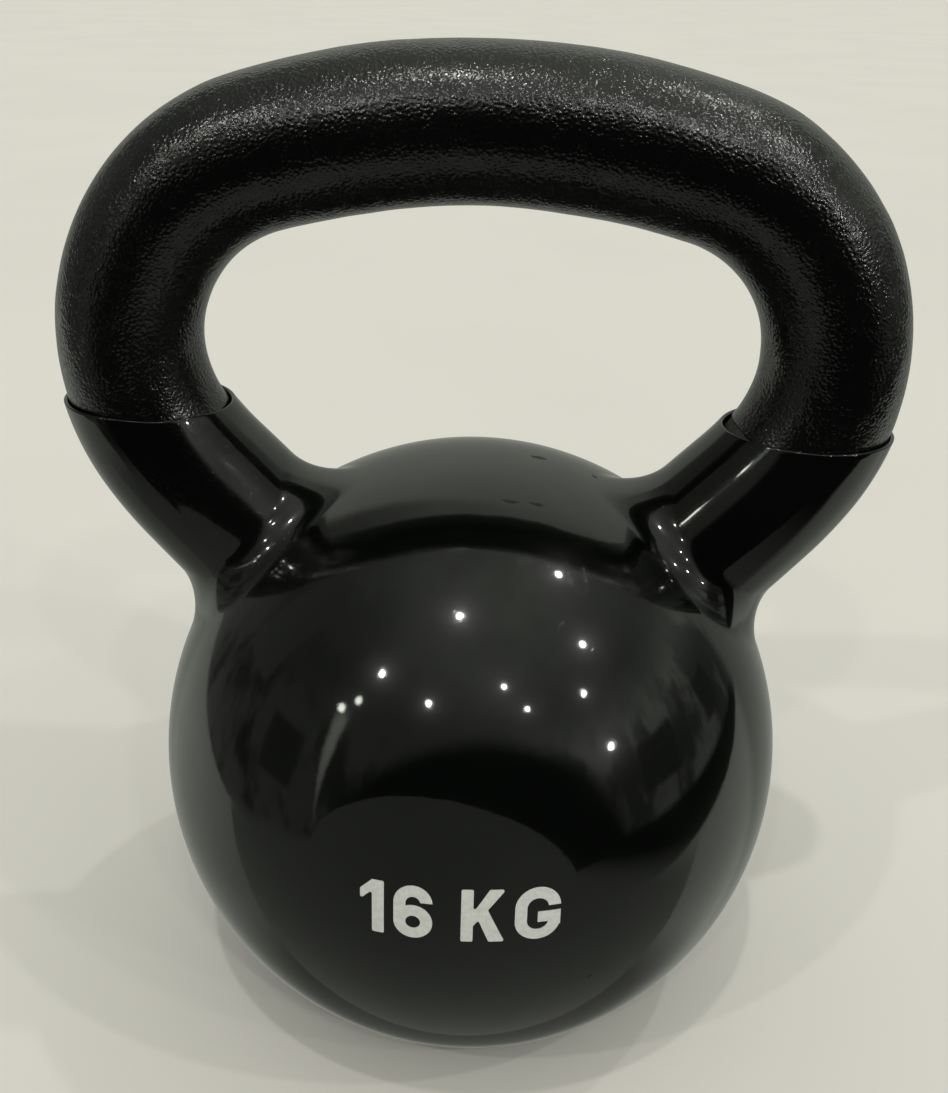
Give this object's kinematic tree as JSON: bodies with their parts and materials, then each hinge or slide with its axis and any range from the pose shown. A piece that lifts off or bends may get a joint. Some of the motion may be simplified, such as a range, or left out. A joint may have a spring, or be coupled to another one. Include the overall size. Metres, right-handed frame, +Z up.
{
  "type": "kettlebell",
  "caption": "Cast-iron kettlebell: a ball with a flat base and a wide looped handle, dipped in black vinyl up to the horns, with a textured black coat on the handle and a printed weight.",
  "frame": {"origin": "the middle of the flat base, on the surface that the kettlebell stands on", "axes": "+Z up through the ball and the middle of the handle, X along the handle, -Y towards the face with the printed weight"},
  "size_m": [0.1998, 0.1603, 0.2378],
  "materials": {
    "grey_iron": "matte",
    "handle_powder_coat": "satin",
    "black_vinyl": "gloss",
    "white_ink": "matte"
  },
  "bodies": {
    "root": {"iron_core": "grey_iron", "handle_coat": "handle_powder_coat", "vinyl_jacket": "black_vinyl", "weight_mark": "white_ink"}
  },
  "joints": []
}
